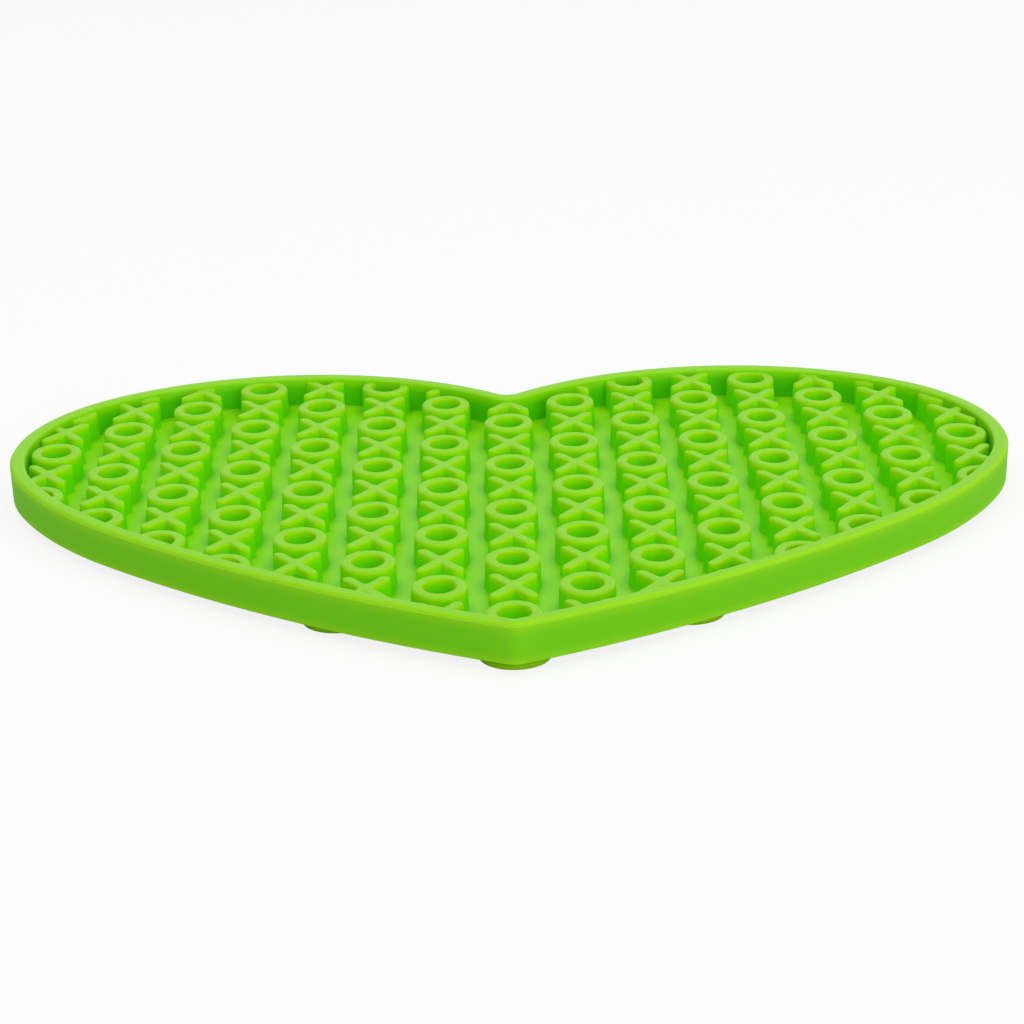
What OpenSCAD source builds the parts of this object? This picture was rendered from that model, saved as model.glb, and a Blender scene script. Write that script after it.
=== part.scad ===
// Heart-shaped lick mat: a low silicone tray whose floor carries a field of ring and cross ribs
// that hold spread food, standing on suction cups.
// The origin is the bottom centre of the whole mat, with the heart's tip towards -Y.

/* [Heart outline] */
// Overall width of the mat across the lobes
mat_w = 199.2; // [185:0.2:215]
// Radius of the arc over the top of each lobe
lobe_r = 62.7; // [58:0.1:68]
// Radius of the tighter arc round the side of each lobe
side_r = 44.2; // [38:0.1:52]
// Radius of the shoulder arc between the side and the flank
shoulder_r = 87.5; // [75:0.5:110]
// Radius of the long flank arc that runs to the tip
flank_r = 276; // [230:1:320]
// Direction of the outline's normal where the lobe arc meets the side arc
lobe_end_angle = 53.5; // [48:0.5:60]
// Direction of the outline's normal where the side arc meets the shoulder arc
side_end_angle = -24; // [-32:1:-18]
// Direction of the outline's normal where the shoulder arc meets the flank arc
shoulder_end_angle = -46; // [-50:1:-42]
// Outer corner radius of the tip
tip_r = 3.6; // [3.5:0.1:8]
// Outer corner radius of the notch between the lobes
notch_r = 2.5; // [1.5:0.1:6]

/* [Tray] */
// Height of the rim above the underside of the mat
rim_h = 7.7; // [7.2:0.1:12]
// Thickness of the rim at its top
rim_t = 2.9; // [2:0.1:3]
// How much the rim's outer wall draws in from its lip to the underside
rim_draft = 0.2; // [0.1:0.05:0.4]
// How much the rim's inner wall thickens from its top to the floor
rim_inner_draft = 0.25; // [0.1:0.05:0.4]
// Radius of the rounded top edges of the rim
rim_edge_r = 0.55; // [0.3:0.05:0.8]
// How far the parting lip under the rim's rounded edge stands out
lip_out = 0.12; // [0.05:0.01:0.3]
// Height of the parting lip
lip_h = 0.3; // [0.2:0.05:0.8]
// Thickness of the floor
floor_t = 1.4; // [1:0.05:2]

/* [Ribs] */
// Distance between the columns of ribs
column_pitch = 13; // [12:0.1:16]
// Distance between the rows of ribs
row_pitch = 13; // [12.6:0.1:16]
// Distance from the outer tip of the heart to the centre of the first ring
tip_ring_inset = 7.6; // [6:0.05:10]
// Height of the ribs above the floor
rib_h = 5.5; // [3:0.1:5.8]
// Width of a ring at its top, across the mat
ring_w = 9.7; // [8.6:0.1:10.4]
// Length of a ring at its top, along the mat
ring_l = 11.2; // [10.6:0.1:12]
// Wall of a ring at its top
ring_wall = 1.95; // [1.4:0.05:2.1]
// Width of a cross at its top, across the mat
cross_w = 9.3; // [8:0.1:9.6]
// Length of a cross at its top, along the mat
cross_l = 10.6; // [9:0.1:11.2]
// Width of a cross's arm along its squared end
cross_arm_w = 2.35; // [1.6:0.05:2.8]
// How much a rib widens on each side from its top to the floor
rib_draft = 0.2; // [0.1:0.05:0.3]
// Size of the rounded top edges of the ribs
rib_edge = 0.35; // [0.2:0.05:0.5]

/* [Suction cups] */
// How far the cups hold the mat above the table
cup_h = 1.8; // [1.6:0.1:4]
// Diameter of a cup's lip
cup_d = 12.7; // [11:0.1:14]
// Thickness of a cup's lip
cup_lip_t = 0.5; // [0.3:0.05:0.8]
// Diameter of a cup where it meets the mat
cup_neck_d = 9; // [7:0.1:10.5]
// Width of the flat ring that a cup rests on
cup_foot_w = 0.6; // [0.4:0.1:1]
// Depth of the hollow under a cup
cup_hollow = 1.3; // [0.8:0.05:1.4]
// Diameter of the peg that is bonded in the mat's seat
peg_d = 6; // [4:0.1:6.6]
// Height of the peg
peg_h = 0.4; // [0.2:0.05:0.5]
// Distance of the outer cups' centres from the edge of the mat
cup_inset = 8.75; // [8:0.05:12]

/* [Hidden] */

// One overrun serves all cuts
over = 0.5;
// Radial clearance of a cup's peg in its seat
peg_clear = 0.05;
// Bond line between a peg and the end of its seat
bond_t = 0.05;
// Directions of the outline's normal beside the outer cups
front_cup_angle = -56.75;
side_cup_angle = 0;
top_cup_angle = 78;
// How far the outline's chords may lie inside its arcs
chord_dip = 0.05;
// Tangents of each arc that test whether a point lies inside the heart
probes = 6;
// Angle between the facets of the rim's rounded edges
edge_step_angle = 30;

function normal(a) = [cos(a), sin(a)];
// Centre of an arc that follows another at direction a without a kink
function next_centre(c, r, r_next, a) = c + (r - r_next) * normal(a);
// Steps of an arc of radius r through the angle a
function steps(r, a) = ceil(abs(a) / (2 * acos(1 - chord_dip / r)));
// Points of an arc of n steps, without its first point
function arc(c, r, a0, a1, n) = [for (k = [1:n]) c + r * normal(a0 + (a1 - a0) * k / n)];

// Arc centres of the right half, first with the lobe's centre at height zero
lobe_x = mat_w / 2 - side_r - (lobe_r - side_r) * cos(lobe_end_angle);
side_0 = next_centre([lobe_x, 0], lobe_r, side_r, lobe_end_angle);
shoulder_0 = next_centre(side_0, side_r, shoulder_r, side_end_angle);
flank_0 = next_centre(shoulder_0, shoulder_r, flank_r, shoulder_end_angle);
tip_a = -acos(-flank_0.x / (flank_r - tip_r));
tip_0 = next_centre(flank_0, flank_r, tip_r, tip_a);
// The outline is centred along Y
shift = [0, -(lobe_r + tip_0.y - tip_r) / 2];
lobe_c = [lobe_x, 0] + shift;
side_c = side_0 + shift;
shoulder_c = shoulder_0 + shift;
flank_c = flank_0 + shift;
tip_c = tip_0 + shift;
tip_y = tip_c.y - tip_r;
notch_c = [0, lobe_c.y + sqrt(pow(lobe_r + notch_r, 2) - pow(lobe_x, 2))];
notch_y = notch_c.y - notch_r;
notch_a = atan2(notch_c.y - lobe_c.y, -lobe_x);

// Arcs of the right half from the notch to the tip: centre, radius, first and last direction
ARCS = [
    [lobe_c, lobe_r, notch_a, lobe_end_angle],
    [side_c, side_r, lobe_end_angle, side_end_angle],
    [shoulder_c, shoulder_r, side_end_angle, shoulder_end_angle],
    [flank_c, flank_r, shoulder_end_angle, tip_a],
    [tip_c, tip_r, tip_a, -90]
];

notch_turn = notch_a - 90;
function half_outline(inset) = [
    notch_c - [0, notch_r + inset],
    each arc(notch_c, notch_r + inset, -90, notch_turn - 90, steps(notch_r, notch_turn)),
    for (s = ARCS) each arc(s[0], s[1] - inset, s[2], s[3], steps(s[1], s[2] - s[3]))
];
function mirrored(points) = [for (k = [len(points) - 2:-1:1]) [-points[k].x, points[k].y]];
function outline(inset) = let (half = half_outline(inset)) concat(half, mirrored(half));
// How deep a point lies inside the heart, from the tangents of its right half
function depth(p) = min([
    for (s = ARCS, k = [0:probes])
        let (a = s[2] + (s[3] - s[2]) * k / probes)
        (s[0] + s[1] * normal(a) - [abs(p.x), p.y]) * normal(a)
]);
// Point beside the outline's direction a, on the arc that holds it
function beside(a, inset) =
    let (s = [for (s = ARCS) if (a <= s[2] && a >= s[3]) s][0])
    s[0] + (s[1] - inset) * normal(a);

module heart(inset) {
    polygon(outline(inset));
}

// Rows of the tray's skin from the underside, over the rim and down to the floor: inset, height
wall_top = rim_h - rim_edge_r;
SKIN = [
    [lip_out + rim_draft, 0],
    [lip_out, wall_top - lip_h - lip_out],
    [0, wall_top - lip_h],
    [0, wall_top - lip_out / 2],
    for (a = [0:edge_step_angle:90]) [lip_out + rim_edge_r * (1 - cos(a)), wall_top + rim_edge_r * sin(a)],
    for (a = [90:-edge_step_angle:0]) [rim_t - rim_edge_r * (1 - cos(a)), wall_top + rim_edge_r * sin(a)],
    [rim_t + rim_inner_draft, floor_t]
];

// Floor and rim as one skin of heart-shaped rows
module tray() {
    half_n = len(half_outline(0));
    n = 2 * half_n - 2;
    last = len(SKIN) - 1;
    polyhedron(
        points = [for (row = SKIN, p = outline(row[0])) [p.x, p.y, row[1]]],
        faces = [
            [for (k = [0:n - 1]) (half_n - 1 + n - k) % n],
            for (row = [0:last - 1], k = [0:n - 1])
                let (next = (k + 1) % n)
                [row * n + k, row * n + next, (row + 1) * n + next, (row + 1) * n + k],
            [for (k = [0:n - 1]) last * n + (half_n - 1 + k) % n]
        ]
    );
}

// Section of a drafted rib with rounded top edges: half width w at the top, rooted in the floor
module rib_section(w, root) {
    polygon([
        [-w - rib_draft, -root],
        [-w, rib_h - rib_edge],
        [-w + rib_edge, rib_h],
        [w - rib_edge, rib_h],
        [w, rib_h - rib_edge],
        [w + rib_draft, -root]
    ]);
}

// Oval ring: two half rings joined by short straight walls
module ring_rib() {
    straight = ring_l - ring_w;
    mid_r = (ring_w - ring_wall) / 2;
    for (turn = [0, 180])
        rotate([0, 0, turn])
            translate([0, straight / 2, 0])
                rotate_extrude(angle = 180, $fn = 48)
                    translate([mid_r, 0])
                        rib_section(ring_wall / 2, floor_t / 2);
    for (side = [-1, 1])
        translate([side * mid_r, straight / 2, 0])
            rotate([90, 0, 0])
                linear_extrude(straight)
                    rib_section(ring_wall / 2, floor_t / 2);
}

// Cross of two drafted arms with ends cut square to the rows
module cross_rib() {
    run = cross_w - cross_arm_w;
    arm_a = atan2(cross_l, run);
    arm_len = norm([run, cross_l]) + 2 * cross_arm_w;
    intersection() {
        for (a = [arm_a, -arm_a])
            rotate([0, 0, a])
                translate([-arm_len / 2, 0, 0])
                    rotate([90, 0, 90])
                        linear_extrude(arm_len)
                            rib_section(cross_arm_w * sin(arm_a) / 2, floor_t / 2);
        translate([-cross_w, 0, 0])
            rotate([90, 0, 90])
                linear_extrude(2 * cross_w)
                    rib_section(cross_l / 2, floor_t / 2);
    }
}

// Lattice places with their depth inside the heart; rings and crosses take turns
first_ring_y = tip_y + tip_ring_inset;
columns = ceil(mat_w / 2 / column_pitch);
rows = ceil(2 * lobe_r / row_pitch) + 2;
PLACES = [
    for (i = [-columns:columns], j = [-1:rows])
        let (p = [i * column_pitch, first_ring_y + j * row_pitch])
        [p, (i + j) % 2 == 0, depth(p)]
];
ring_reach = ring_l / 2 + rib_draft;
cross_reach = norm([cross_w, cross_l]) / 2 + rib_draft;
function reach(place) = place[1] ? ring_reach : cross_reach;
// Whole ribs stand clear of the rim, and the others run into it
WHOLE = [for (q = PLACES) if (q[2] >= rim_t + reach(q)) q];
CUT = [for (q = PLACES) if (q[2] < rim_t + reach(q) && q[2] > rim_t - reach(q)) q];

module rib(place) {
    translate([place[0].x, place[0].y, cup_h + floor_t])
        if (place[1]) ring_rib();
        else cross_rib();
}

module mat() {
    color([0.50, 0.83, 0.15])
        difference() {
            union() {
                translate([0, 0, cup_h])
                    tray();
                for (q = WHOLE) rib(q);
                intersection() {
                    union() {
                        for (q = CUT) rib(q);
                    }
                    translate([0, 0, cup_h])
                        linear_extrude(rim_h)
                            heart(rim_t / 2);
                }
            }
            for (p = CUPS)
                translate([p.x, p.y, cup_h - over])
                    cylinder(d = peg_d + 2 * peg_clear, h = over + peg_h + bond_t, $fn = 48);
        }
}

// Cup places on the right half, and on the axis
front_cup = beside(front_cup_angle, cup_inset);
side_cup = beside(side_cup_angle, cup_inset);
top_cup = beside(top_cup_angle, cup_inset);
centre_cup = lobe_c;
tip_cup = [0, tip_y + cup_inset];
notch_cup = [0, notch_y - cup_inset];
function left(p) = [-p.x, p.y];
CUPS = [
    tip_cup, notch_cup, front_cup, left(front_cup), centre_cup, left(centre_cup),
    side_cup, left(side_cup), top_cup, left(top_cup)
];

// Suction cup: a peg, a neck that spreads to a thin lip, and a domed hollow underneath
module suction_cup(p) {
    hollow_r = cup_d / 2 - cup_foot_w;
    dome_r = (pow(hollow_r, 2) + pow(cup_hollow, 2)) / (2 * cup_hollow);
    color([0.43, 0.69, 0.05])
        translate([p.x, p.y, 0])
            difference() {
                union() {
                    cylinder(d = cup_d, h = cup_lip_t, $fn = 64);
                    translate([0, 0, cup_lip_t])
                        cylinder(d1 = cup_d, d2 = cup_neck_d, h = cup_h - cup_lip_t, $fn = 64);
                    cylinder(d = peg_d, h = cup_h + peg_h, $fn = 64);
                }
                translate([0, 0, cup_hollow - dome_r])
                    sphere(r = dome_r, $fn = 96);
            }
}

mat();
suction_cup(tip_cup);  // cup_tip
suction_cup(left(front_cup));  // cup_front_left
suction_cup(front_cup);  // cup_front_right
suction_cup(left(centre_cup));  // cup_centre_left
suction_cup(centre_cup);  // cup_centre_right
suction_cup(left(side_cup));  // cup_side_left
suction_cup(side_cup);  // cup_side_right
suction_cup(left(top_cup));  // cup_top_left
suction_cup(top_cup);  // cup_top_right
suction_cup(notch_cup);  // cup_notch
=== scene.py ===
import math
import bmesh
import bpy
from mathutils import Matrix, Vector


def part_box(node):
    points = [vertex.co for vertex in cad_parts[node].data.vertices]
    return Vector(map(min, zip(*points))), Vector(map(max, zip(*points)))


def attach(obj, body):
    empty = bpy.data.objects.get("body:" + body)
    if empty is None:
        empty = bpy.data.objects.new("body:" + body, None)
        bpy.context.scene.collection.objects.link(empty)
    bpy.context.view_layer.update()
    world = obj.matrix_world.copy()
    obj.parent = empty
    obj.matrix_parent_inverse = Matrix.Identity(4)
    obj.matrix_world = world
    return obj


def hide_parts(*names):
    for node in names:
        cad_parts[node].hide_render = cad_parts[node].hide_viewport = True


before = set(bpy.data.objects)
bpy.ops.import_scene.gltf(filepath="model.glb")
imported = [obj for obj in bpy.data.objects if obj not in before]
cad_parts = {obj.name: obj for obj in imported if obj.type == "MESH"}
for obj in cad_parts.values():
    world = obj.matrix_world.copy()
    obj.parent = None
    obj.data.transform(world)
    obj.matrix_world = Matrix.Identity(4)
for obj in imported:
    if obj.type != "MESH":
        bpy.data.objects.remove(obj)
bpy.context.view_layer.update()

# Tray: the floor and the upright rim of the heart, moulded in one piece of lime green silicone.
# The rim's edges are rounded, and the mould parts along a thin step below its outer edge.
# It is laid out as one section of the rim that is spun round the arcs of the heart.
mm = 0.001
mat_low, mat_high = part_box("mat")
lobe_radius = 62.7 * mm
side_radius = 44.2 * mm
shoulder_radius = 87.5 * mm
flank_radius = 276 * mm
tip_radius = 3.6 * mm
notch_radius = 2.5 * mm
lobe_end = math.radians(53.5)
side_end = math.radians(-24)
shoulder_end = math.radians(-46)
rim_width = 2.9 * mm
rim_round = 0.6 * mm
rim_draft = 0.2 * mm
inner_draft = 0.25 * mm
lip_out = 0.18 * mm
lip_rise = lip_out / 3
lip_round = 0.59 * mm
floor_thickness = 1.4 * mm
floor_round = 0.38 * mm
foot_round = 0.4 * mm
rim_segments = 5
floor_segments = 4
foot_segments = 3
seam_clearance = 0.04 * mm
outline_step = 1.2 * mm
tip_step = outline_step / 4
notch_step = outline_step / 3
wall_lean = 0.2
weld = 0.001 * mm
weld_digits = 6

floor_z = mat_low.z + floor_thickness
lip_top_z = mat_high.z - rim_round - lip_rise
seam_inset = tip_radius - seam_clearance


def towards(angle):
    """The unit vector of a direction in plan."""
    return Vector((math.cos(angle), math.sin(angle), 0))


def heart_arcs():
    """Arcs of the right half from the notch to the tip: centre, radius, first and last direction."""
    half_width = (mat_high.x - mat_low.x) / 2
    lobe = Vector((half_width - side_radius - (lobe_radius - side_radius) * math.cos(lobe_end), 0, 0))
    side = lobe + (lobe_radius - side_radius) * towards(lobe_end)
    shoulder = side + (side_radius - shoulder_radius) * towards(side_end)
    flank = shoulder + (shoulder_radius - flank_radius) * towards(shoulder_end)
    tip_start = -math.acos(-flank.x / (flank_radius - tip_radius))
    tip = flank + (flank_radius - tip_radius) * towards(tip_start)
    shift = Vector((0, mat_high.y - lobe_radius, 0))
    notch_rise = math.sqrt((lobe_radius + notch_radius) ** 2 - lobe.x ** 2)
    notch_end = math.atan2(notch_rise, -lobe.x)
    arcs = [
        (lobe, lobe_radius, notch_end, lobe_end),
        (side, side_radius, lobe_end, side_end),
        (shoulder, shoulder_radius, side_end, shoulder_end),
        (flank, flank_radius, shoulder_end, tip_start),
        (tip, tip_radius, tip_start, -math.pi / 2),
    ]
    notch = Vector((0, notch_rise, 0)) + shift
    return notch, [(centre + shift, *rest) for centre, *rest in arcs]


notch_centre, arcs = heart_arcs()
tip_y = arcs[-1][0].y - tip_radius
notch_y = notch_centre.y - notch_radius


def chain(bm, points, rounds):
    """An open run of edges through points, with the corners named in rounds bevelled to arcs."""
    verts = [bm.verts.new(p) for p in points]
    for a, b in zip(verts, verts[1:]):
        bm.edges.new((a, b))
    for corner, radius, segments in rounds:
        bmesh.ops.bevel(bm, geom=[verts[corner]], offset=radius, offset_type="OFFSET", affect="VERTICES",
                        segments=segments, profile=0.5, material=-1)


def spin_on(bm, geom, centre, turn, steps):
    """Spins the open section on by turn and returns its last copy."""
    spun = bmesh.ops.spin(bm, geom=geom, cent=centre, axis=(0, 0, 1), angle=turn,
                          steps=max(2, math.ceil(steps)))
    return spun["geom_last"]


def sweep_heart(bm):
    """Spins the section in bm round the right half of the heart and mirrors it to the left."""
    geom = bm.verts[:] + bm.edges[:]
    notch_turn = arcs[0][2] - math.pi / 2
    geom = spin_on(bm, geom, notch_centre, notch_turn, notch_radius * notch_turn / notch_step)
    for centre, radius, start, end in arcs:
        step = tip_step if radius == tip_radius else outline_step
        geom = spin_on(bm, geom, centre, end - start, radius * abs(end - start) / step)
    bmesh.ops.mirror(bm, geom=bm.verts[:] + bm.edges[:] + bm.faces[:], matrix=Matrix.Identity(4),
                     merge_dist=weld, axis="X")
    bmesh.ops.remove_doubles(bm, verts=bm.verts[:], dist=weld)


def close(bm):
    """Fills the open loop at each level and turns the faces outwards."""
    open_edges = [e for e in bm.edges if e.is_boundary]
    for level in {round(e.verts[0].co.z, weld_digits) for e in open_edges}:
        loop = [e for e in open_edges if abs(e.verts[0].co.z - level) < weld]
        bmesh.ops.triangle_fill(bm, use_beauty=True, use_dissolve=False, normal=(0, 0, 1), edges=loop)
    bmesh.ops.recalc_face_normals(bm, faces=bm.faces[:])


def finished(bm, name):
    """Puts the mesh into the scene as an object at the origin."""
    mesh = bpy.data.meshes.new(name)
    bm.to_mesh(mesh)
    bm.free()
    piece = bpy.data.objects.new(name, mesh)
    bpy.context.scene.collection.objects.link(piece)
    return piece


def make_tray():
    """The tray, with attributes that tell the rim's outer and inner walls from the ribs' walls."""
    bm = bmesh.new()
    section = [
        (seam_inset, mat_low.z),
        (rim_draft, mat_low.z),
        (0, lip_top_z),
        (lip_out, lip_top_z + lip_rise),
        (lip_out, mat_high.z),
        (rim_width, mat_high.z),
        (rim_width + inner_draft, floor_z),
        (seam_inset, floor_z),
    ]
    rounds = [
        (1, foot_round, foot_segments),
        (4, lip_round, rim_segments),
        (5, rim_round, rim_segments),
        (6, floor_round, floor_segments),
    ]
    chain(bm, [(0, notch_y - inset, z) for inset, z in section], rounds)
    sweep_heart(bm)
    close(bm)
    outer_wall = bm.faces.layers.float.new("outer_wall")
    inner_wall = bm.faces.layers.float.new("inner_wall")
    for face in bm.faces:
        outwards = face.normal.xy.dot(face.calc_center_median().xy.normalized())
        face[outer_wall] = outwards > wall_lean
        face[inner_wall] = outwards < -wall_lean
    return finished(bm, "silicone_mat")


mat = make_tray()

# Ring ribs: upright oval rings of the same moulding that hold spread food in their wells.
# Their walls are drafted, their top edges are rounded and a small fillet joins them to the floor.
# Rings and crosses take turns on a square lattice, and the outer ones run into the rim.
pitch = 13 * mm
first_ring_inset = 7.6 * mm
rib_height = 5.5 * mm
rib_draft = 0.2 * mm
rib_flare = 0.2 * mm
rib_dip = 0.03 * mm
rib_root = 0.4 * mm
ring_width = 9.95 * mm
ring_length = 11.2 * mm
ring_wall = 1.98 * mm
ring_round = 0.6 * mm
well_round = 0.35 * mm
ring_segments = 4
well_segments = 3
flare_segments = 2
ring_quarter_steps = 8

first_ring_y = tip_y + first_ring_inset
rib_top_z = floor_z + rib_height


def ring_rib():
    """One ring at the lattice's origin: an oval of four arcs, with their centres on the axes."""
    bm = bmesh.new()
    half_wall = ring_wall / 2
    foot = half_wall + rib_draft
    middle = (ring_width - ring_wall) / 2
    shift = (ring_length - ring_width) / 2 / (2 - math.sqrt(2))
    section = [
        (-foot - rib_flare, floor_z - rib_root),
        (-foot - rib_flare, floor_z - rib_dip),
        (-foot, floor_z),
        (-half_wall, rib_top_z),
        (half_wall, rib_top_z),
        (foot, floor_z),
        (foot + rib_flare, floor_z - rib_dip),
        (foot + rib_flare, floor_z - rib_root),
    ]
    rounds = [
        (2, rib_flare, flare_segments),
        (3, well_round, well_segments),
        (4, ring_round, ring_segments),
        (5, rib_flare, flare_segments),
    ]
    chain(bm, [(middle + x, 0, z) for x, z in section], rounds)
    geom = bm.verts[:] + bm.edges[:]
    quarter = math.pi / 2
    turns = [
        ((-shift, 0, 0), quarter / 2),
        ((0, shift, 0), quarter),
        ((shift, 0, 0), quarter),
        ((0, -shift, 0), quarter),
        ((-shift, 0, 0), quarter / 2),
    ]
    for centre, turn in turns:
        geom = spin_on(bm, geom, centre, turn, ring_quarter_steps * turn / quarter)
    bmesh.ops.remove_doubles(bm, verts=bm.verts[:], dist=weld)
    inner = [e for e in bm.edges if e.is_boundary and e.verts[0].co.xy.length < middle]
    outer = [e for e in bm.edges if e.is_boundary and e.verts[0].co.xy.length > middle]
    bmesh.ops.bridge_loops(bm, edges=inner + outer)
    bmesh.ops.recalc_face_normals(bm, faces=bm.faces[:])
    return bm


# Cross ribs: upright crosses of the same moulding, with arms whose ends are cut square to the rows.
# They have the rings' height, draft and foot fillets, and their top edges, their corners and the
# notches between their arms are rounded.
cross_width = 9.7 * mm
cross_length = 10.6 * mm
cross_arm = 2.35 * mm
cross_round = 0.42 * mm
cross_corner = 0.62 * mm
cross_pocket_corner = 1.2 * mm
cross_notch = 0.45 * mm
bend_steps = 4
cross_round_steps = 4
tangents_per_arc = 12


def cross_outline(bm, grow, z):
    """Plan of a cross whose top outline is grown outwards: four arcs of a quarter, mirrored twice."""
    slope = math.atan2(cross_length, cross_width - cross_arm)
    half_arm = cross_arm / 2 + grow / math.sin(slope)
    notch = cross_notch - grow
    inner = cross_pocket_corner + grow
    outer = cross_corner + grow
    inner_y = cross_length / 2 + grow - inner
    outer_y = cross_length / 2 + grow - outer
    inner_x = (inner_y * math.cos(slope) + inner) / math.sin(slope) - half_arm
    outer_x = (outer_y * math.cos(slope) - outer) / math.sin(slope) + half_arm
    square = math.pi / 2
    bends = [
        (0, half_arm * math.tan(slope) + notch / math.cos(slope), notch, -square, slope - square),
        (inner_x, inner_y, inner, slope + square, square),
        (outer_x, outer_y, outer, square, slope - square),
        (half_arm + notch / math.sin(slope), 0, notch, slope + square, math.pi),
    ]
    last = []
    for x, y, radius, start, end in bends:
        vert = bm.verts.new(Vector((x, y, z)) + radius * towards(start))
        for end_vert in last:
            bm.edges.new((end_vert, vert))
        spun = bmesh.ops.spin(bm, geom=[vert], cent=(x, y, z), axis=(0, 0, 1), angle=end - start,
                              steps=bend_steps)
        last = [v for v in spun["geom_last"] if isinstance(v, bmesh.types.BMVert)]
    for axis in ("X", "Y"):
        bmesh.ops.mirror(bm, geom=bm.verts[:] + bm.edges[:], matrix=Matrix.Identity(4),
                         merge_dist=weld, axis=axis)
        bmesh.ops.remove_doubles(bm, verts=bm.verts[:], dist=weld)
    return bmesh.ops.contextual_create(bm, geom=bm.edges[:])["faces"][0]


def cross_rib():
    """One cross at the lattice's origin, drawn in row by row from its root to its top face."""
    bm = bmesh.new()
    face = cross_outline(bm, rib_draft + rib_flare, floor_z - rib_root)
    if face.normal.z > 0:
        bmesh.ops.reverse_faces(bm, faces=[face])
    grown = bmesh.ops.extrude_face_region(bm, geom=[face], use_keep_orig=True)["geom"]
    top = [f for f in grown if isinstance(f, bmesh.types.BMFace)][0]
    bmesh.ops.reverse_faces(bm, faces=[top])
    for v in top.verts:
        v.co.z = floor_z - rib_dip
    quarter = math.pi / 2
    rows = []
    for k in range(flare_segments):
        turn = quarter * (k + 1) / flare_segments
        rise = (rib_flare + rib_dip) * (1 - math.cos(turn))
        rows.append((rib_flare * math.sin(turn), floor_z - rib_dip + rise))
    wall_share = 1 - rib_flare / rib_height
    wall_top = rib_flare + rib_draft * wall_share
    rows.append((wall_top, rib_top_z - cross_round))
    for k in range(cross_round_steps):
        turn = quarter * (k + 1) / cross_round_steps
        drop = cross_round * (1 - math.sin(turn))
        rows.append((wall_top + cross_round * (1 - math.cos(turn)), rib_top_z - drop))
    drawn_in = 0
    for inset, z in rows:
        bmesh.ops.inset_region(bm, faces=[top], thickness=inset - drawn_in, use_even_offset=True,
                               use_boundary=True)
        drawn_in = inset
        for v in top.verts:
            v.co.z = z
    bmesh.ops.recalc_face_normals(bm, faces=bm.faces[:])
    return bm


def depth(point):
    """How deep a point lies inside the heart, from the tangents of its right half."""
    place = Vector((abs(point[0]), point[1], 0))
    depths = []
    for centre, radius, start, end in arcs:
        for k in range(tangents_per_arc + 1):
            out = towards(start + (end - start) * k / tangents_per_arc)
            depths.append((centre + radius * out - place).dot(out))
    return min(depths)


def set_out(bm, rib, places):
    """Adds a copy of the rib at each place."""
    one = bpy.data.meshes.new("one_rib")
    rib.to_mesh(one)
    for x, y in places:
        before = len(bm.verts)
        bm.from_mesh(one)
        bm.verts.ensure_lookup_table()
        bmesh.ops.translate(bm, verts=bm.verts[before:], vec=(x, y, 0))
    bpy.data.meshes.remove(one)


def make_ribs(name, whole):
    """The whole ribs of the lattice, or those that run into the rim."""
    bm = bmesh.new()
    ring, cross = ring_rib(), cross_rib()
    clear = rim_width + inner_draft + ring_length / 2 + rib_draft + rib_flare
    columns = math.ceil(mat_high.x / pitch)
    rows = math.ceil((mat_high.y - tip_y) / pitch)
    lattice = [
        (i, j, (i * pitch, first_ring_y + j * pitch))
        for i in range(-columns, columns + 1)
        for j in range(-1, rows + 1)
    ]
    for rib, odd in ((ring, 0), (cross, 1)):
        places = [
            p for i, j, p in lattice
            if (i + j) % 2 == odd and (depth(p) >= clear) == whole and depth(p) > -ring_length / 2
        ]
        set_out(bm, rib, places)
    return finished(bm, name)


# One moulding: ribs that run into the rim end halfway through it, and the floor, the rim and
# the ribs are joined to one closed skin, as they come out of the mould.
mat_crease = math.radians(35)


def combine(piece, operation, tool):
    """Joins or trims the piece with the tool, which is used up."""
    cut = piece.modifiers.new(operation.lower(), "BOOLEAN")
    cut.operation = operation
    cut.solver = "EXACT"
    cut.object = tool
    graph = bpy.context.evaluated_depsgraph_get()
    mesh = bpy.data.meshes.new_from_object(piece.evaluated_get(graph))
    piece.modifiers.clear()
    old = piece.data
    piece.data = mesh
    mesh.name = old.name
    bpy.data.meshes.remove(old)
    bpy.data.meshes.remove(tool.data)


def make_core():
    """The heart inside the middle of the rim, from below the ribs' roots to the rim's top."""
    bm = bmesh.new()
    core_low = floor_z - 2 * rib_root
    chain(bm, [(0, notch_y - rim_width / 2, z) for z in (core_low, mat_high.z)], [])
    sweep_heart(bm)
    close(bm)
    return finished(bm, "core")


def shade(piece, crease):
    """Smooth faces, with sharp edges where the surface turns by more than the crease angle."""
    bm = bmesh.new()
    bm.from_mesh(piece.data)
    bmesh.ops.remove_doubles(bm, verts=bm.verts[:], dist=weld)
    bmesh.ops.dissolve_degenerate(bm, edges=bm.edges[:], dist=weld)
    for face in bm.faces:
        face.smooth = True
    for edge in bm.edges:
        edge.smooth = edge.calc_face_angle(0) < crease
    bm.to_mesh(piece.data)
    bm.free()
    even = piece.modifiers.new("even_shading", "WEIGHTED_NORMAL")
    even.keep_sharp = True


rim_ribs = make_ribs("rim_ribs", False)
combine(rim_ribs, "INTERSECT", make_core())
combine(mat, "UNION", rim_ribs)
combine(mat, "UNION", make_ribs("inner_ribs", True))
shade(mat, mat_crease)
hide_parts("mat")
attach(mat, "root")
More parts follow.
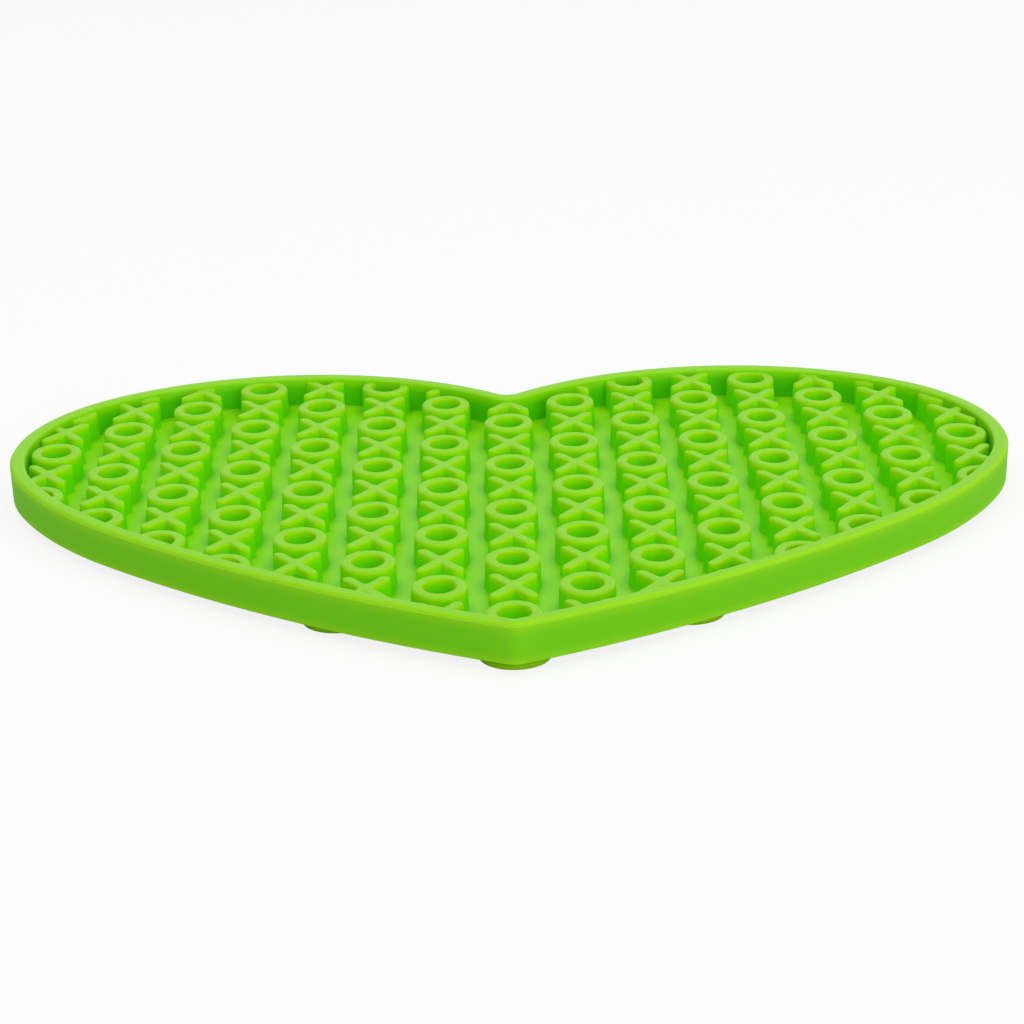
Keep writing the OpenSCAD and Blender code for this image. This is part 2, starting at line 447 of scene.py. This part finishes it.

# Silicone: the whole mat is moulded in one satin, slightly translucent lime green silicone.
# Light that comes through it is partly the shader's own and partly painted: a painted glow makes its
# edges yellow green and painted shade turns its deep walls a full green, and the mould gives it a fine
# grain.

# How far each change of colour reaches, and the share of its colour that is mixed in; most of them paint
# glow, highlights and shade.
ring_shade_width = 2.6 * mm
inner_painted_glow_depth = 2.7 * mm
outer_painted_glow_depth = 2 * mm
lip_fade = 0.1 * mm
foot_painted_glow_height = 2.2 * mm
tip_painted_highlight_length = 2.5 * mm
outer_painted_glow_share = 0.34
lip_painted_glow_share = 0.7
foot_painted_glow_share = 0.36
tip_painted_highlight_share = 0.11
rim_glow_cut = 0.6
rounded_glow_share = 0.65
drift_share = 0.12
mottle_share = 0.08

# The upward parts of a face's normal between which it turns from one look to the next.
level_slopes = (0.05, 0.7)
rounding_slopes = (0.25, 0.6)
flattening_slopes = (0.75, 0.97)
underside_slopes = (-0.95, -0.6)

# Noise patterns by their waves in a metre, the satin's roughness, and the light that comes through.
drift_scale = 35.0
cloud_scale = 420.0
mottle_scale = 1500.0
grain_scale = 3500.0
noise_detail = 2.0
cloud_detail = 3.0
grain_strength = 0.15
grain_depth = 0.05 * mm
satin_roughness = 0.38
cloud_roughness = 0.1
wall_roughness = 0.3
silicone_ior = 1.41
silicone_specular = 0.25
translucence = 0.6
light_reach = 1 * mm
light_reach_shares = (0.6, 1.0, 0.1)


class Signal:
    """A socket of a finish; sums and products of signals add Math nodes."""

    def __init__(self, finish, socket):
        self.finish = finish
        self.socket = socket

    def maths(self, operation, a, b):
        """A Math node of two signals or numbers."""
        return self.finish.node("ShaderNodeMath", {"operation": operation}, {0: a, 1: b})

    def __add__(self, other):
        return self.maths("ADD", self, other)

    def __radd__(self, other):
        return self.maths("ADD", other, self)

    def __sub__(self, other):
        return self.maths("SUBTRACT", self, other)

    def __rsub__(self, other):
        return self.maths("SUBTRACT", other, self)

    def __mul__(self, other):
        return self.maths("MULTIPLY", self, other)

    def __rmul__(self, other):
        return self.maths("MULTIPLY", other, self)

    def __truediv__(self, other):
        return self.maths("DIVIDE", self, other)

    def __rtruediv__(self, other):
        return self.maths("DIVIDE", other, self)


class Finish:
    """The nodes of a material or a world, which is its owner."""

    def __init__(self, owner):
        self.owner = owner
        self.owner.use_nodes = True
        self.tree = self.owner.node_tree
        self.tree.nodes.clear()

    def node(self, kind, settings, inputs, output=0):
        """Adds a node, sets it up, fills or links its sockets and returns one of its outputs."""
        made = self.tree.nodes.new(kind)
        for name, value in settings.items():
            setattr(made, name, value)
        for name, value in inputs.items():
            if isinstance(value, Signal):
                self.tree.links.new(value.socket, made.inputs[name])
            else:
                made.inputs[name].default_value = value
        return Signal(self, made.outputs[output]) if made.outputs else None

    def mix(self, amount, a, b):
        """Mixes two colours: a Mix node takes them at sockets 6 and 7 and gives its colour at 2."""
        return self.node("ShaderNodeMix", {"data_type": "RGBA"}, {0: amount, 6: a, 7: b}, 2)

    def ease(self, value, low, high):
        """Goes smoothly from 0 at low to 1 at high."""
        return self.node("ShaderNodeMapRange", {"interpolation_type": "SMOOTHSTEP"},
                         {"Value": value, "From Min": low, "From Max": high})

    def part(self, vector, axis):
        """The X, Y or Z of a vector."""
        return self.node("ShaderNodeSeparateXYZ", {}, {"Vector": vector}, axis)

    def noise(self, place, scale, detail=noise_detail):
        """A noise pattern with scale waves in a metre."""
        return self.node("ShaderNodeTexNoise", {}, {"Vector": place, "Scale": scale, "Detail": detail})

    def to_nearest(self, value):
        """How far a value is from the nearest whole number."""
        return value - self.node("ShaderNodeMath", {"operation": "ROUND"}, {0: value})


def linear(red, green, blue):
    """The shader's values of a colour written as screen values from 0 to 255, by the sRGB curve."""
    shares = [c / 255 for c in (red, green, blue)]
    return tuple(c / 12.92 if c < 0.04045 else ((c + 0.055) / 1.055) ** 2.4 for c in shares) + (1.0,)


top_green = linear(136, 208, 2)
floor_green = linear(144, 219, 2)
shaded_green = linear(116, 206, 2)
# Painted shade and glow on the walls inside the rim: deep greens at their feet and a yellow green at
# their top edges.
root_green = linear(118, 234, 0)
edge_glow_green = linear(187, 233, 0)
inner_rim_green = linear(90, 209, 0)
wall_green = linear(104, 189, 2)
# Painted glow and highlights on the rim's outer wall and on rounded edges, and a painted highlight along
# the mould's step.
rim_green = linear(164, 209, 12)
rounded_glow_green = linear(153, 209, 16)
step_highlight_green = linear(160, 215, 74)
cup_green = linear(162, 208, 2)
cup_lip_green = linear(142, 193, 0)


# Painted shade: the floor turns a darker green round the feet of the rings.
def ring_nearness(finish, place):
    """1 at the foot of the nearest ring of the lattice, and 0 at ring_shade_width from it."""
    across = finish.part(place, "X") / pitch
    along = (finish.part(place, "Y") - first_ring_y) / pitch
    rising = finish.to_nearest((across + along) / 2)
    falling = finish.to_nearest((across - along) / 2)
    offset = finish.node("ShaderNodeCombineXYZ", {}, {
        "X": (rising + falling) * pitch,
        "Y": (rising - falling) * (pitch * ring_width / ring_length),
    })
    distance = finish.node("ShaderNodeVectorMath", {"operation": "LENGTH"}, {0: offset}, "Value")
    return 1 - finish.ease(distance, ring_width / 2, ring_width / 2 + ring_shade_width)


def silicone(name, floor_colour, shaded_colour, top_colour, root_colour, edge_colour):
    """Level faces go from floor, with painted shade near the rings, to top; walls inside the rim from
    painted shade at the root to painted glow at the edge.
    """
    finish = Finish(bpy.data.materials.new(name))
    place = finish.node("ShaderNodeTexCoord", {}, {}, "Object")
    height = finish.part(place, "Z")
    normal = finish.node("ShaderNodeNewGeometry", {}, {}, "Normal")
    upward = finish.part(normal, "Z")
    outer = finish.node("ShaderNodeAttribute", {"attribute_name": "outer_wall"}, {}, "Fac")
    rim_inside = finish.node("ShaderNodeAttribute", {"attribute_name": "inner_wall"}, {}, "Fac")
    drift = finish.noise(place, drift_scale)
    cloud = finish.noise(place, cloud_scale, cloud_detail)
    mottle = finish.noise(place, mottle_scale)
    grain = finish.noise(place, grain_scale)

    steep = 1 - finish.ease(upward, *level_slopes)
    rounded = finish.ease(upward, *rounding_slopes) * (1 - finish.ease(upward, *flattening_slopes))
    underneath = 1 - finish.ease(upward, *underside_slopes)
    risen = finish.ease(height, floor_z, rib_top_z)
    # Painted glow that fades down the walls inside the rim from their top edges, over painted shade at
    # their feet.
    inner_painted_glow = finish.ease(height, rib_top_z - inner_painted_glow_depth, rib_top_z)
    # Painted glow on the rim's outer wall, fading down from its lip.
    outer_painted_glow = finish.ease(height, lip_top_z - outer_painted_glow_depth, lip_top_z)
    # Painted glow on the rim's rounded outer edge above the lip.
    lip_painted_glow = finish.ease(height, lip_top_z + lip_rise, lip_top_z + lip_rise + lip_fade)
    # Painted highlight: a pale line along the small step where the mould parts.
    painted_step_highlight = finish.ease(height, lip_top_z - lip_rise, lip_top_z) * (1 - lip_painted_glow)
    # Painted glow at the foot of the rim's outer wall, just above the table.
    foot_painted_glow = 1 - finish.ease(height, mat_low.z, mat_low.z + foot_painted_glow_height)
    # Painted highlight on the rim's outer wall round the tip of the heart.
    tip_painted_highlight = 1 - finish.ease(finish.part(place, "Y"), tip_y, tip_y + tip_painted_highlight_length)

    floor = finish.mix(ring_nearness(finish, place), floor_colour, shaded_colour)
    level = finish.mix(risen, floor, top_colour)
    root = finish.mix(rim_inside, root_colour, inner_rim_green)
    inner = finish.mix(inner_painted_glow * inner_painted_glow * (1 - rim_inside * rim_glow_cut), root, edge_colour)
    # The painted glow and highlights on the rim's outer wall, mixed over its own wall green.
    glow = outer_painted_glow * outer_painted_glow_share + lip_painted_glow * lip_painted_glow_share
    glow = glow + foot_painted_glow * foot_painted_glow_share + tip_painted_highlight * tip_painted_highlight_share
    outside = finish.mix(glow, wall_green, rim_green)
    outside = finish.mix(painted_step_highlight, outside, step_highlight_green)
    body = finish.mix(steep, level, finish.mix(outer, inner, outside))
    # Painted glow on the rounded top edges of the ribs and the rim.
    body = finish.mix(rounded * risen * rounded_glow_share, body, rounded_glow_green)
    body = finish.mix(underneath, body, wall_green)
    body = finish.mix(drift * drift_share, body, top_green)
    body = finish.mix(mottle * mottle_share, body, wall_green)

    bump = finish.node("ShaderNodeBump", {}, {
        "Strength": grain_strength,
        "Distance": grain_depth,
        "Height": grain,
    })
    shader = finish.node("ShaderNodeBsdfPrincipled", {}, {
        "Base Color": body,
        "Roughness": satin_roughness + cloud * cloud_roughness + outer * wall_roughness,
        "IOR": silicone_ior,
        "Specular IOR Level": silicone_specular,
        "Subsurface Weight": translucence,
        "Subsurface Radius": light_reach_shares,
        "Subsurface Scale": light_reach,
        "Normal": bump,
    })
    finish.node("ShaderNodeOutputMaterial", {}, {"Surface": shader})
    return finish.owner


mat.data.materials.append(
    silicone("lime_silicone", floor_green, shaded_green, top_green, root_green, edge_glow_green))

# Suction cups: thin round cups of the same silicone, each bonded under the mat by a short peg.
# The neck spreads to a thin lip, and the cup stands on a narrow ring round a domed hollow.
cup_names = [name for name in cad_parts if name.startswith("cup_")]
cup_lip = 0.8 * mm
cup_neck = 4.5 * mm
cup_foot = 0.6 * mm
cup_hollow = 1.3 * mm
cup_sink = 0.05 * mm
cup_edge_in = 0.12 * mm
cup_edge_rise = 0.15 * mm
cup_spread = 0.5 * mm
cup_spread_drop = 0.25 * mm
dome_steps = 10
cup_steps = 64
cup_crease = math.radians(40)
cup_silicone = silicone(
    "cup_silicone", cup_green, cup_green, cup_green, cup_lip_green, cup_lip_green)


def make_cup(node):
    """One cup, spun from half its section, at its node's place."""
    low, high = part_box(node)
    centre = (low + high) / 2
    radius = (high.x - low.x) / 2
    bm = bmesh.new()
    hollow = radius - cup_foot
    dome = (hollow ** 2 + cup_hollow ** 2) / (2 * cup_hollow)
    crown = bm.verts.new((0, 0, cup_hollow))
    sweep = math.asin(hollow / dome)
    arc = bmesh.ops.spin(bm, geom=[crown], cent=(0, 0, cup_hollow - dome), axis=(0, 1, 0), angle=sweep,
                         steps=dome_steps)
    edge = [v for v in arc["geom_last"] if isinstance(v, bmesh.types.BMVert)][0]
    profile = [
        (radius - cup_edge_in, 0),
        (radius, cup_edge_rise),
        (radius, cup_lip),
        (cup_neck + cup_spread, mat_low.z - cup_spread_drop),
        (cup_neck, mat_low.z + cup_sink),
        (0, mat_low.z + cup_sink),
    ]
    last = edge
    for r, z in profile:
        new = bm.verts.new((r, 0, z))
        bm.edges.new((last, new))
        last = new
    bmesh.ops.spin(bm, geom=bm.verts[:] + bm.edges[:], cent=(0, 0, 0), axis=(0, 0, 1),
                   angle=2 * math.pi, steps=cup_steps, use_merge=True)
    bmesh.ops.remove_doubles(bm, verts=bm.verts[:], dist=weld)
    bmesh.ops.recalc_face_normals(bm, faces=bm.faces[:])
    bmesh.ops.translate(bm, verts=bm.verts[:], vec=(centre.x, centre.y, 0))
    cup = finished(bm, node.replace("cup_", "suction_cup_"))
    shade(cup, cup_crease)
    cup.data.materials.append(cup_silicone)
    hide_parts(node)
    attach(cup, "root")


for name in cup_names:
    make_cup(name)

# Table: a plain white surface under the cups. The camera sees it mostly as clean white paper,
# and it keeps a part of the mat's shadow.
table_size = 6.0
table_segments = 8
shadow_kept = 0.15
table_white = (0.86, 0.86, 0.86, 1.0)
full_white = (1.0, 1.0, 1.0, 1.0)


def make_table():
    """The table, whose finish mixes lit paper with a white that is the same all over."""
    bm = bmesh.new()
    bmesh.ops.create_grid(bm, x_segments=table_segments, y_segments=table_segments, size=table_size / 2)
    table = finished(bm, "table")
    finish = Finish(bpy.data.materials.new("white_table"))
    seen = finish.node("ShaderNodeLightPath", {}, {}, "Is Camera Ray")
    paper = finish.node("ShaderNodeBsdfDiffuse", {}, {"Color": table_white})
    white = finish.node("ShaderNodeEmission", {}, {"Color": full_white, "Strength": 1.0})
    surface = finish.node("ShaderNodeMixShader", {}, {0: seen * (1 - shadow_kept), 1: paper, 2: white})
    finish.node("ShaderNodeOutputMaterial", {}, {"Surface": surface})
    table.data.materials.append(finish.owner)


make_table()

# Studio: a large soft box overhead and a low one in front at the right, in an even white room.
# The room shows as full white to the camera and in reflections, and lights the mat less than that.
room_level = 0.5
soft_boxes = [
    ("overhead_box", Vector((0.1, -0.15, 1.3)), 1.6, 10.6),
    ("side_box", Vector((0.5, -1.06, 0.28)), 0.8, 6.0),
]


def make_room():
    """The world: full white where it is seen, and room_level where it lights."""
    room = Finish(bpy.data.worlds.new("white_room"))
    camera_ray = room.node("ShaderNodeLightPath", {}, {}, "Is Camera Ray")
    glossy_ray = room.node("ShaderNodeLightPath", {}, {}, "Is Glossy Ray")
    seen = room.node("ShaderNodeMath", {"operation": "MAXIMUM"}, {0: camera_ray, 1: glossy_ray})
    light = room.node("ShaderNodeBackground", {}, {"Color": full_white, "Strength": room_level})
    backdrop = room.node("ShaderNodeBackground", {}, {"Color": full_white, "Strength": 1.0})
    surface = room.node("ShaderNodeMixShader", {}, {0: seen, 1: light, 2: backdrop})
    room.node("ShaderNodeOutputWorld", {}, {"Surface": surface})
    bpy.context.scene.world = room.owner


def hang_box(name, place, size, power):
    """A square lamp at its place, turned towards the mat."""
    lamp = bpy.data.lights.new(name, "AREA")
    lamp.size = size
    lamp.energy = power
    holder = bpy.data.objects.new(name, lamp)
    holder.location = place
    holder.rotation_euler = place.to_track_quat("Z", "Y").to_euler()
    bpy.context.scene.collection.objects.link(holder)


make_room()
for box in soft_boxes:
    hang_box(*box)

# Camera: the photograph's view, from in front of the tip and 20 degrees above the table.
# Its long lens looks at a point near the mat's middle, and it is rolled by just over one degree.
view_lens = 99.94
view_width = 36.0
view_limit = 20.0
view_rise = math.radians(20.06)
view_turn = math.radians(0.19)
view_roll = math.radians(1.262)
view_distance = 534.9 * mm
view_aim = Vector((0.16 * mm, -13.23 * mm, 7.94 * mm))


def make_camera():
    """The camera, turned, tilted and rolled about view_aim and view_distance away from it."""
    camera = bpy.data.cameras.new("camera")
    camera.lens = view_lens
    camera.sensor_width = view_width
    camera.clip_end = view_limit
    turn = Matrix.Rotation(-view_turn, 4, "Z")
    tilt = Matrix.Rotation(math.pi / 2 - view_rise, 4, "X")
    roll = Matrix.Rotation(-view_roll, 4, "Z")
    stance = turn @ tilt @ roll
    away = stance.to_3x3() @ Vector((0, 0, view_distance))
    holder = bpy.data.objects.new("camera", camera)
    holder.matrix_world = Matrix.Translation(view_aim + away) @ stance
    bpy.context.scene.collection.objects.link(holder)
    bpy.context.scene.camera = holder


make_camera()
bpy.context.scene.view_settings.view_transform = "Standard"
